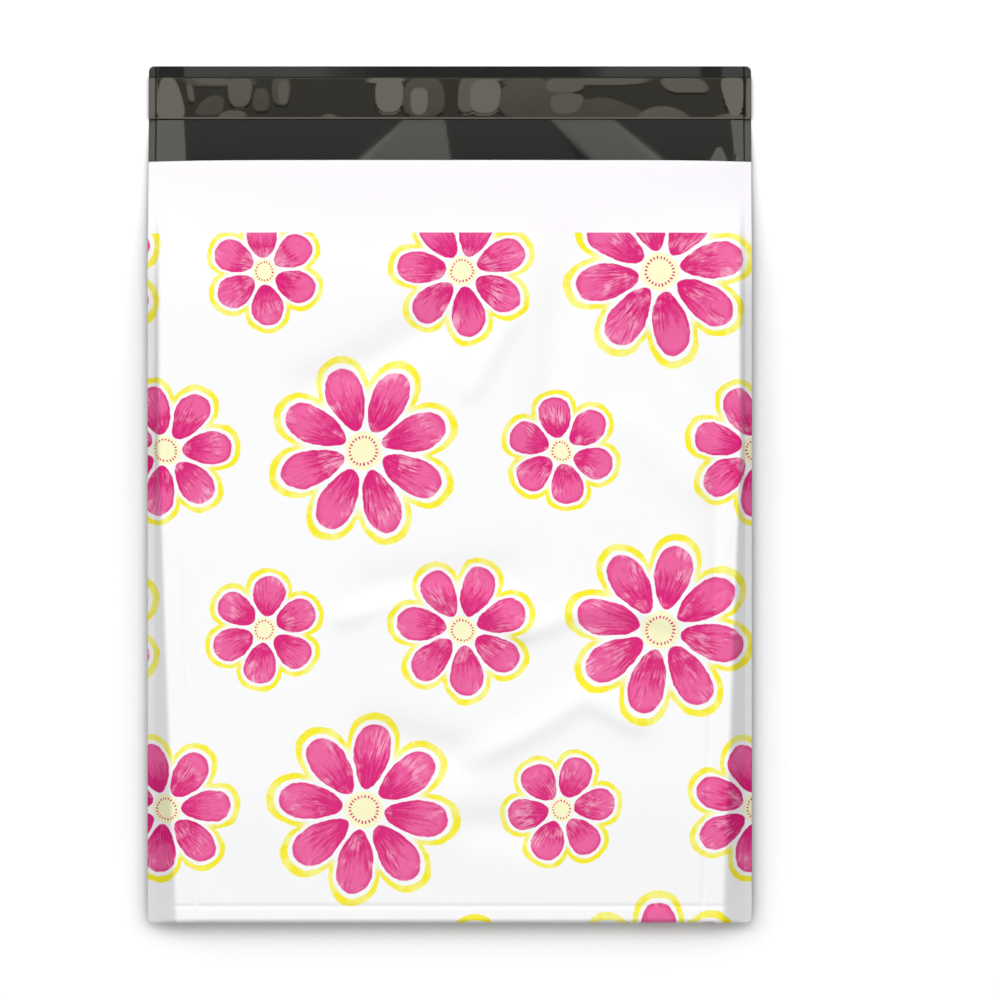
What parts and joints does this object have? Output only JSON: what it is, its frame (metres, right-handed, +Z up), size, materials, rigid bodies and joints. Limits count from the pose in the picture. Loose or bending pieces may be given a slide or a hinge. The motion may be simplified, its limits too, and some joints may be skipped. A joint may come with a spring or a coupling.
{
  "type": "poly mailer bag",
  "caption": "Flat plastic film mailing pouch, closed on three sides, with an open mouth and a fold-over flap whose glue strip is covered by a release liner.",
  "frame": {"origin": "middle of the bag's outline, on the floor that it lies on", "axes": "the bag lies on its back: +X across it to the right, +Y along it towards the flap, +Z up out of the printed front"},
  "size_m": [0.254, 0.3606, 0.0127],
  "materials": {
    "film": "satin white film outside with a pink and yellow print on the front, glossy dark grey inside",
    "adhesive": "tacky amber hot-melt glue",
    "liner": "glossy, slightly wavy clear film, smoky over the glue and the dark flap"
  },
  "bodies": {
    "root": {"bag_film": "film", "adhesive_strip": "adhesive", "release_liner": "liner"}
  },
  "joints": []
}
